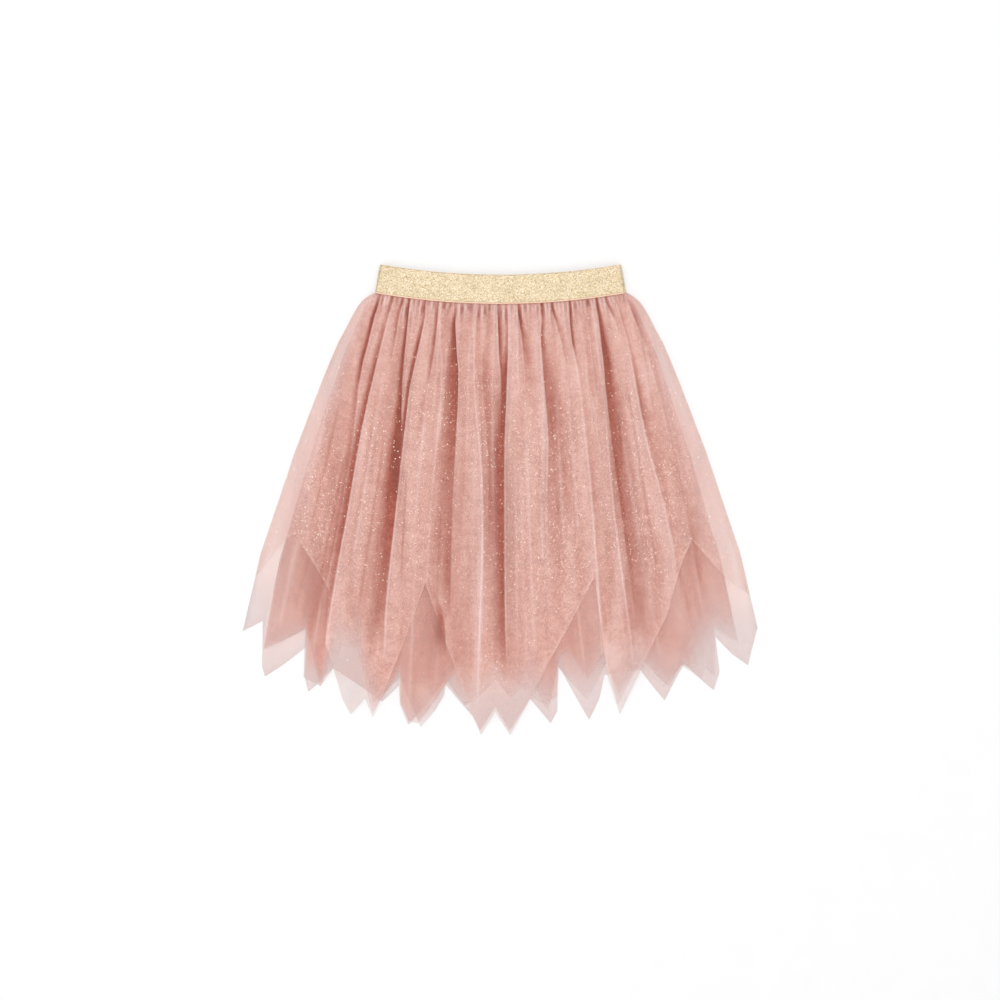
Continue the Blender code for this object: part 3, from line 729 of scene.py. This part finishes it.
def patched(table, angle, drop):
    """The sum of a table's soft patches at each point."""
    amount = np.zeros_like(angle)
    for middle, centre, half_width, half_length, strength in table:
        across = beside(angle, drop, middle) * 1000 / half_width
        amount += strength * np.exp(-across**2 - ((drop * 1000 - centre) / half_length) ** 2)
    return amount


CLOUD_WAVES = 24
CLOUD_CONTRAST = 6


def clouds(line, drop, seed):
    """Soft patches, 15 to 40 mm across and longer down the skirt, from -1 to 1."""
    random = np.random.default_rng(seed)
    along_seam = np.radians(angle_at(line, drop)) * (SEAM_RADIUS + drop)
    total = np.zeros_like(line)
    for _ in range(CLOUD_WAVES):
        turn, pitch = random.uniform(-0.9, 0.9), random.uniform(0.014, 0.045)
        across, down = np.cos(turn) / pitch, 0.15 * np.sin(turn) / pitch
        total += np.sin(2 * np.pi * (across * along_seam + down * drop) + random.uniform(0, 6.28))
    return np.clip(total / CLOUD_CONTRAST, -1, 1)


# Where the glitter is thickest: angle and drop in mm of each patch's middle, half its width and
# half its length in mm, and its strength.
GLITTER_PATCHES = [
    (-11.6, 190, 14, 45, 0.8), (-10.4, 215, 12, 40, 1), (-8.3, 120, 14, 40, 0.8),
    (-7.9, 215, 16, 50, 0.6), (-5.2, 95, 14, 30, 1), (-5.1, 190, 14, 60, 0.5), (-3.5, 105, 8, 35, 0.8),
    (-3.3, 210, 10, 40, 0.6), (-0.9, 105, 12, 45, 1.3), (-0.8, 220, 12, 60, 0.7), (1.6, 140, 16, 35, 1),
    (1.2, 235, 16, 55, 0.6), (3.7, 175, 14, 40, 1.1), (4.6, 110, 12, 30, 0.8), (3.9, 235, 16, 30, 0.7),
    (7.9, 190, 12, 60, 0.8), (8.8, 235, 12, 40, 1.2), (9, 100, 9, 40, 0.7), (10.4, 175, 12, 45, 1),
    (6.4, 230, 12, 40, 0.5), (-0.5, 320, 14, 30, 0.5),
]
GLITTER_BELOW = 22
BELOW_RUN = 12
GLITTER_ABOVE = 268
ABOVE_RUN = 15
GLITTER_LOSS = 0.75
FAINT_GLITTER = 0.18


def glitter_patches(angle, drop):
    """How thick the glitter is at each point: in patches, and thin at the band and the hem."""
    down = drop * 1000
    amount = FAINT_GLITTER + patched(GLITTER_PATCHES, angle, drop)
    amount *= 1 - GLITTER_LOSS / (1 + np.exp((GLITTER_ABOVE - down) / ABOVE_RUN))
    return amount / (1 + np.exp((GLITTER_BELOW - down) / BELOW_RUN))


SMALL_CREASES = 130
SMALL_SHARE = 0.25
FRONT_RUMPLES = 0.0009
HOLLOW_SINK = 0.45
GROOVE_SINK = 0.25
GATHER_SINK = 0.35
ROUNDED_SIDE = 0.03
LOWERED_SIDE = 0.978
LEAST_HEIGHT = 0.0001
LIFT_RUN = 0.0035
# From here, the strengths of the painted shade and the painted highlight, then the net's cover.
VALLEY_SHADE = 0.84
VALLEY_GAIN = 1.15
HOLLOW_SHADE = 0.22
FURROW_SHADE = 0.40
CLOUD_SHADE = 0.14
SOFT_DEEPER = 0.4
CORE_SHADE = 0.12
CORE_DROP = 0.100
DEEPEST = 0.97
RIDGE_LIGHT = 0.5
CREST_LIGHT = 0.6
TOP_LIGHT = 0.15
TOP_RUN = 0.015
RIM_LIGHT = 0.5
THICKEST = 1.3
GATHERS_THICK = 0.5
GATHERS_RUN = 0.120
EDGE_THICK = 0.4
TUCK_THICK = 2
SIDE_ALONE = (0.92, 0.97)
SIDE_RIM = (0.955, 0.985)
ALONE_TIP = 0.8
ALONE_SIDE = 0.4
FAINT_TIP = 0.12
FAINT_RIM = 0.40


def front_panel(name, layer, hem, creases, reach, seed, material, columns, rows):
    """A front panel: tucks at the band, and long folds that lap over their valleys."""
    line, drop = cloth_grid(hem, reach, columns, rows)
    angle = angle_at(line, drop)
    valley, core, groove, hollow, edge, lean = folded(angle, drop)
    tuck, crest = tucked(angle, drop)
    pressed, ridge, furrow = creased(line, drop, creases)
    small, small_ridge, small_furrow = creased(line, drop, small_creases(seed, SMALL_CREASES))
    ridge = np.maximum(ridge, SMALL_SHARE * small_ridge)
    furrow = np.maximum(furrow, SMALL_SHARE * small_furrow)
    # Random cloud tone plus soft patches of painted shade, which lighten instead where below 0.
    soft = patched(SOFT_SHADES, angle, drop) / 100
    uneven = CLOUD_SHADE * clouds(line, drop, seed) * (1 - valley) + soft
    thin = sheer(angle, drop)
    from_middle = np.abs(line)

    relief = section("fold", drop) * (1 - HOLLOW_SINK * hollow - GROOVE_SINK * groove)
    relief += section("gather", drop) * (1 - tuck) * (1 - GATHER_SINK * groove)
    relief += rumples(line, drop, seed, FRONT_RUMPLES)
    base = LAYER_STEP * layer
    if layer == 3:
        base = LAYER_STEP * np.interp(from_middle, [0, LOWERED_SIDE, 1], [3, 3, 1])
    height = base + relief * np.clip((1 - from_middle) / ROUNDED_SIDE, 0, 1) ** 0.5
    height = np.maximum(height + pressed + small, base + LEAST_HEIGHT)

    # Painted shade in the folds' valleys and cores, hollows, furrows, soft patches and tucks, partly the
    # denser net.
    shade = VALLEY_SHADE * np.minimum(VALLEY_GAIN * valley, 1)
    shade = np.maximum(shade, HOLLOW_SHADE * hollow) + FURROW_SHADE * furrow + uneven
    shade = np.minimum(shade, VALLEY_SHADE + SOFT_DEEPER * np.maximum(soft, 0))
    shade += CORE_SHADE * core * np.exp(-drop / CORE_DROP)
    # Painted highlight on fold edges, crease ridges and tuck crests; also lighter near the band and
    # along the hem.
    light = np.maximum(np.maximum(edge, RIDGE_LIGHT * ridge), CREST_LIGHT * crest)
    light += TOP_LIGHT * fading(drop, TOP_RUN) - uneven
    light = np.maximum(light, RIM_LIGHT * near_hem(drop, 2 * HEM_EDGE))
    light *= 1 - np.clip(shade, 0, 1)
    thick = THICKEST * valley + GATHERS_THICK * fading(drop, GATHERS_RUN) + EDGE_THICK * light
    side = np.interp(from_middle, SIDE_ALONE, (0, 1))
    rim = np.interp(from_middle, SIDE_RIM, (0, 1))
    # The shade mark carries the painted shade, and the edge mark the painted highlight.
    marks = {
        "shade": np.clip(np.maximum(shade, tuck), 0, DEEPEST),
        "edge": np.clip(light, 0, 1),
        "thick": np.maximum(np.clip(thick, 0, THICKEST), TUCK_THICK * tuck),
        "alone": np.maximum(ALONE_TIP * thin, ALONE_SIDE * side),
        "faint": (faint_parts(line, angle, drop) if reach < 1
                  else np.maximum(FAINT_TIP * thin, FAINT_RIM * rim)),
        "glitter": glitter_patches(angle, drop),
    }
    return tulle_shell(name, angle + np.degrees(lean / (SEAM_RADIUS + drop)), drop,
                       leaving_band(drop, layer, height, LIFT_RUN), marks, material)


under_front = front_panel("under_front_tulle", 2, UNDER_FRONT_HEM, UNDER_FRONT_CREASES,
                          UNDER_REACH, 13, plain_tulle, columns=300, rows=80)
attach(under_front, "root")
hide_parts("under_tulle_front")

# ----------------------------------------
# Outer front panel: glitter tulle, the layer that shows. Its gathers are drawn up tightly at the
# band, run together into long folds with sharp lapped edges, and end in deep handkerchief points.

OUTER_FRONT_HEM = [
    (-13.7, 272), (-12.6, 235), (-12.06, 226), (-9.51, 271), (-9.27, 318), (-7.98, 365), (-7.46, 378),
    (-6.85, 362), (-6.36, 378), (-4.25, 253), (-2.35, 328), (-0.97, 387.7), (-0.26, 366.7),
    (0.47, 387.8), (2.6, 321), (5.33, 249), (5.52, 339), (5.96, 374.7), (7.26, 337.5), (9.04, 292),
    (10.4, 246), (11.16, 229), (12.56, 268), (13.7, 289),
]
OUTER_FRONT_CREASES = [
    (-12.3, 60, -12.9, 220, 1.6, 0.5), (-11.3, 30, -11.9, 200, 1.8, 0.5),
    (-10.9, 90, -11.2, 230, 1.2, -0.4), (-9.97, 148, -10.15, 272, 1.3, -0.7),
    (-8.2, 60, -8.5, 250, 2.2, 0.5), (-7.6, 120, -7.8, 300, 1.4, -0.4),
    (-5.94, 154, -5.57, 262, 1.1, -0.6), (-5.2, 40, -5.1, 210, 2, 0.4), (-4.6, 20, -4.5, 110, 1.4, 0.5),
    (-3.9, 30, -4.05, 130, 1.3, 0.7), (-2.3, 20, -2.2, 150, 1.6, 0.4), (-1.8, 51, -1.2, 150, 1.6, 0.8),
    (-1.2, 140, -1, 240, 2, 0.9), (-1, 225, -1.15, 355, 2.2, 1), (-0.6, 60, -0.4, 200, 1.5, 0.4),
    (0.95, 120, 0.9, 330, 1.8, 0.4), (1.26, 12, 1.24, 80, 1.2, 0.8), (1.7, 110, 1.8, 320, 1.6, 0.4),
    (2.92, 30, 2.96, 118, 1.5, 0.8), (2.96, 108, 2.5, 185, 2.4, 0.8), (2.52, 172, 2.45, 235, 1.8, 0.5),
    (3.9, 70, 3.7, 230, 1.6, 0.4), (4.7, 60, 4.6, 230, 1.8, 0.5), (6.26, 80, 6.46, 150, 1.5, 0.5),
    (8, 90, 8.2, 280, 1.8, 0.4), (8.8, 60, 8.9, 270, 1.4, -0.4), (10.41, 35, 10.31, 117, 1.3, -0.5),
    (11.2, 60, 11.3, 200, 1.6, 0.5), (12.2, 100, 12.4, 240, 1.4, 0.4),
]

outer_front = front_panel("outer_front_tulle", 3, OUTER_FRONT_HEM, OUTER_FRONT_CREASES, 1.0, 14,
                          glitter_tulle, columns=520, rows=80)
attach(outer_front, "root")
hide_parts("outer_tulle_front")

# ----------------------------------------
# Glitter: flat gold flakes glued to the outer tulle, thickest in patches down the middle of the
# skirt, and finer ones woven into the waistband.

FLAKE_SIDES = 6
FLAKE_FLATNESS = 0.28
FLAKE_SIZES = (0.55, 1.25)
TILT = 0.6
GLITTER_GOLD = (1.0, 0.90, 0.78)
DULL_GOLD = (0.90, 0.66, 0.50)


def scattered_glitter():
    """Geometry Nodes that strew flat flakes over a mesh, as thickly as it is marked."""
    tree = bpy.data.node_groups.new("scattered_glitter", "GeometryNodeTree")
    add_socket(tree, "Geometry", "Geometry")
    add_socket(tree, "Flakes a Square Metre", "Float", 50000.0)
    add_socket(tree, "Flake Radius", "Float", 0.0004)
    add_socket(tree, "Seed", "Int", 1)
    add_socket(tree, "Glitter", "Material")
    add_socket(tree, "Geometry", "Geometry", output=True)
    nodes = Nodes(tree)
    inside = nodes.add("NodeGroupInput").outputs
    marked = nodes.add("GeometryNodeInputNamedAttribute", {"data_type": "FLOAT"}, Name="glitter")
    many = nodes.math("MULTIPLY", marked.outputs["Attribute"], inside["Flakes a Square Metre"])
    points = nodes.add("GeometryNodeDistributePointsOnFaces", {"distribute_method": "RANDOM"},
                       Mesh=inside["Geometry"], Density=many, Seed=inside["Seed"])
    depth = nodes.math("MULTIPLY", inside["Flake Radius"], FLAKE_FLATNESS)
    flake = nodes.add("GeometryNodeMeshCone", {"fill_type": "TRIANGLE_FAN"}, Vertices=FLAKE_SIDES,
                      Radius_Top=0.0, Radius_Bottom=inside["Flake Radius"], Depth=depth)
    turn = nodes.add("FunctionNodeRandomValue", {"data_type": "FLOAT_VECTOR"}, Seed=inside["Seed"])
    turn.inputs[0].default_value = (-TILT, -TILT, 0.0)
    turn.inputs[1].default_value = (TILT, TILT, 2 * np.pi)
    size = nodes.add("FunctionNodeRandomValue", {"data_type": "FLOAT"}, Seed=inside["Seed"])
    size.inputs[2].default_value = FLAKE_SIZES[0]
    size.inputs[3].default_value = FLAKE_SIZES[1]
    strewn = nodes.add("GeometryNodeInstanceOnPoints", Points=points.outputs["Points"],
                       Instance=flake.outputs["Mesh"], Rotation=turn.outputs[0],
                       Scale=size.outputs[1])
    real = nodes.add("GeometryNodeRealizeInstances", Geometry=strewn.outputs["Instances"])
    shown = nodes.add("GeometryNodeSetMaterial", Geometry=real.outputs["Geometry"],
                      Material=inside["Glitter"])
    nodes.add("NodeGroupOutput", Geometry=shown.outputs["Geometry"])
    return tree


def glitter_material():
    """Gold foil flakes, some bright and some dull."""
    material, nodes, shader = new_material("gold_glitter")
    place_on = nodes.object_place()
    pick = nodes.add("ShaderNodeTexVoronoi", {"feature": "F1"}, Vector=place_on, Scale=700.0)
    pick = nodes.add("ShaderNodeSeparateColor", Color=pick.outputs["Color"])
    bright = nodes.ramp(pick.outputs["Red"], 0.25, 0.65)
    nodes.wire(shader, Base_Color=nodes.mix(bright, (*DULL_GOLD, 1), (*GLITTER_GOLD, 1)),
               Metallic=0.35, Roughness=0.35)
    return material


glitter_nodes = scattered_glitter()
gold_glitter = glitter_material()


def strew_glitter(name, base, flakes, radius, seed):
    """A mesh of all the flakes on one piece, made by the nodes and then kept as it is."""
    host = linked(name + "_host", base.data)
    modifier = host.modifiers.new("glitter", "NODES")
    modifier.node_group = glitter_nodes
    wanted = {"Flakes a Square Metre": flakes, "Flake Radius": radius, "Seed": seed,
              "Glitter": gold_glitter}
    for item in glitter_nodes.interface.items_tree:
        if item.in_out == "INPUT" and item.name in wanted:
            modifier[item.identifier] = wanted[item.name]
    evaluated = host.evaluated_get(bpy.context.evaluated_depsgraph_get())
    mesh = bpy.data.meshes.new_from_object(evaluated)
    host.modifiers.remove(modifier)
    bpy.data.objects.remove(host)
    mesh.name = name
    return linked(name, mesh)


front_glitter = strew_glitter("front_glitter", outer_front, 40000.0, 0.00052, 5)
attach(front_glitter, "root")

# ----------------------------------------
# Waistband: a loop of 25 mm elastic woven with gold glitter thread, laid flat. The gathered edges
# of all four panels are held inside its lower edge, which has a fine peach-gold selvedge.

BAND_WIDTH = 0.0266
BAND_HALF_ANGLE = 9.9
BAND_THICKNESS = 0.0064
BAND_WALL = 0.0018
BAND_RIBS = 12
RIB_HEIGHT = 0.00012
BAND_ROWS = 60
INSIDE_ROWS_APART = 6
BAND_STEPS = 380
BAND_END_STEPS = 14
BAND_ROUNDING = 0.0006
ROUNDING_STEEPNESS = 26
BEAD_SHARES = (0.0, 0.010, 0.026, 0.042, 0.050)
BEAD_INSETS = (0.0006, 0.0001, 0.0, 0.0001, 0.0005)
BEAD_RISE = 0.0002
LOOP_SIZE = 0.0003
SHARP_ANGLE = 50
GOLD_PALE = (0.71, 0.60, 0.44)
GOLD_MID = (0.58, 0.46, 0.29)
GOLD_DEEP = (0.41, 0.32, 0.18)
PEACH_GOLD = (0.76, 0.48, 0.33)
PALE_PEACH = (0.84, 0.63, 0.48)


def loop_profile(inset):
    """The flattened loop seen end on: angle along the seam and height, this far inside its face."""
    rise = BAND_THICKNESS / 2 - inset
    straight = BAND_HALF_ANGLE - np.degrees(BAND_THICKNESS / 2 / SEAM_RADIUS)
    along = np.linspace(-straight, straight, BAND_STEPS + 1)
    turn = np.linspace(-np.pi / 2, np.pi / 2, BAND_END_STEPS + 1)[1:-1]
    bulge = np.degrees(rise / SEAM_RADIUS) * np.cos(turn)
    angles = np.concatenate([along, straight + bulge, along[::-1], -straight - bulge])
    heights = np.concatenate([np.full(len(along), -rise), rise * np.sin(turn),
                              np.full(len(along), rise), -rise * np.sin(turn)])
    return angles, heights + BAND_THICKNESS / 2


def ring_shell(name, rings, material):
    """A closed shell through rings of points, the last joined to the first."""
    index = np.arange(rings.shape[0] * rings.shape[1]).reshape(rings.shape[:2])
    following = np.roll(index, -1, axis=0)
    faces = np.stack([index, following, np.roll(following, -1, axis=1),
                      np.roll(index, -1, axis=1)], axis=-1).reshape(-1, 4)
    piece = new_piece(name, rings, faces, material)
    piece.data.set_sharp_from_angle(angle=np.radians(SHARP_ANGLE))
    return piece


def band_rings():
    """Its rings of points: the bead and ribs of the outside, up from the seam, then the inside."""
    shares = np.linspace(BEAD_SHARES[-1], 1, BAND_ROWS + 1)[1:]
    rings = [(*loop_profile(inset), share) for share, inset in zip(BEAD_SHARES, BEAD_INSETS)]
    for share in shares:
        rib = RIB_HEIGHT * (1 - np.cos(2 * np.pi * BAND_RIBS * share)) / 2
        rim = BAND_ROUNDING * max(0, 1 - (1 - share) * ROUNDING_STEEPNESS)
        rings.append((*loop_profile(BEAD_RISE + rib + rim), share))
    for share in np.concatenate([shares[::-INSIDE_ROWS_APART], [0.0]]):
        rings.append((*loop_profile(BAND_WALL), share))
    points = []
    for angles, heights, share in rings:
        loops = LOOP_SIZE * (np.arange(len(angles)) // 2 % 2) if share == 1 else 0
        x, y = place(angles, SEAM_RADIUS - BAND_WIDTH * share + loops)
        points.append(np.stack([x, y, heights], axis=-1))
    return np.array(points)


def glitter_elastic():
    """Woven elastic full of flat gold glitter thread, which catches the light in specks."""
    material, nodes, shader = new_material("gold_glitter_elastic")
    place_on = nodes.object_place()
    flecks = nodes.add("ShaderNodeTexVoronoi", {"feature": "F1"}, Vector=place_on, Scale=1150.0)
    pick = nodes.add("ShaderNodeSeparateColor", Color=flecks.outputs["Color"]).outputs
    deep = (*GOLD_DEEP, 1)
    colour = nodes.mix(nodes.ramp(pick["Red"], 0.35, 0.75), (*GOLD_MID, 1), (*GOLD_PALE, 1))
    colour = nodes.mix(nodes.ramp(pick["Green"], 0.74, 0.88, 0.0, 0.85), colour, deep)
    worn = nodes.ramp(nodes.noise(place_on, 90, 2), 0.4, 0.7, 0.0, 0.25)
    nodes.wire(shader, Base_Color=nodes.mix(worn, colour, deep),
               Roughness=nodes.ramp(pick["Blue"], 0, 1, 0.3, 0.65),
               Metallic=nodes.ramp(pick["Green"], 0, 1, 0.35, 0.75),
               Normal=nodes.bump(flecks.outputs["Distance"], 0.6, 0.0004))
    return material


def selvedge_material():
    """Peach-gold thread with a fine twist along it."""
    material, nodes, shader = new_material("peach_gold_selvedge")
    twist = nodes.noise(nodes.object_place(), 900, 1)
    colour = nodes.mix(nodes.ramp(twist, 0.4, 0.6), (*PEACH_GOLD, 1), (*PALE_PEACH, 1))
    nodes.wire(shader, Base_Color=colour, Normal=nodes.bump(twist, 0.5, 0.0003), Roughness=0.5,
               Metallic=0.2)
    return material


def mark_band(piece, ring_count):
    """The selvedges' own material, and where the band's outside has glitter."""
    piece.data.materials.append(selvedge_material())
    # There are as many faces as points, and both follow the rings in the same order.
    ring = np.arange(len(piece.data.vertices)) * ring_count // len(piece.data.vertices)
    beads = len(BEAD_SHARES)
    mark(piece.data, "glitter", (ring > beads) & (ring < beads + BAND_ROWS))
    selvedge = (ring < beads - 1) | (ring == ring_count - 1) | (ring == beads + BAND_ROWS - 2)
    piece.data.polygons.foreach_set("material_index", selvedge.astype(np.int32))


rings = band_rings()
waistband = ring_shell("glitter_waistband", rings, glitter_elastic())
mark_band(waistband, len(rings))
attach(waistband, "root")
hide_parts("waistband")

band_glitter = strew_glitter("band_glitter", waistband, 160000.0, 0.00032, 6)
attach(band_glitter, "root")

# ----------------------------------------
# Surface, soft studio light and the camera, which looks straight down: a matt pale floor just
# below the skirt, an even sky, and one large lamp above for the soft shadows.

FLOOR_HEIGHT = -0.0003
FLOOR_SIZE = 6.0
FLOOR_WHITES = (0.80, 0.80, 0.80), (0.81, 0.81, 0.81)
SKY_STRENGTH = 0.85
KEY_POWER = 42
KEY_SIZE = 1.0
KEY_PLACE = (-0.25, 0.35, 3.0)
CAMERA_LENS = 85
CAMERA_SENSOR = 36
FIELD = 0.9
CAMERA_PLACE = (-0.00005, -0.00056)
NETS_SEEN_THROUGH = 40


def pale_floor():
    """A matt white surface with a barely uneven finish."""
    material, nodes, shader = new_material("matt_white_floor")
    grain = nodes.noise(nodes.object_place(), 40, 2)
    colour = nodes.mix(nodes.ramp(grain, 0.3, 0.7), *((*white, 1) for white in FLOOR_WHITES))
    nodes.wire(shader, Base_Color=colour, Roughness=0.9, Specular_IOR_Level=0.1)
    return material


corners = np.array([(-0.5, -0.5, 0), (0.5, -0.5, 0), (0.5, 0.5, 0), (-0.5, 0.5, 0)])
floor = new_piece("floor", FLOOR_SIZE * corners + (0, 0, FLOOR_HEIGHT),
                  np.array([[0, 1, 2, 3]]), pale_floor())

world = bpy.data.worlds.new("soft_studio")
world.use_nodes = True
sky = world.node_tree.nodes["Background"].inputs
sky["Color"].default_value = (1, 1, 1, 1)
sky["Strength"].default_value = SKY_STRENGTH
bpy.context.scene.world = world

key = bpy.data.lights.new("key", "AREA")
key.energy = KEY_POWER
key.size = KEY_SIZE
linked("key", key).location = KEY_PLACE

lens = bpy.data.cameras.new("camera")
lens.lens = CAMERA_LENS
lens.sensor_width = CAMERA_SENSOR
camera = linked("camera", lens)
camera.location = (*CAMERA_PLACE, FIELD * CAMERA_LENS / CAMERA_SENSOR + BAND_THICKNESS)
bpy.context.scene.camera = camera

bpy.context.scene.view_settings.view_transform = "Standard"
bpy.context.scene.cycles.transparent_max_bounces = NETS_SEEN_THROUGH
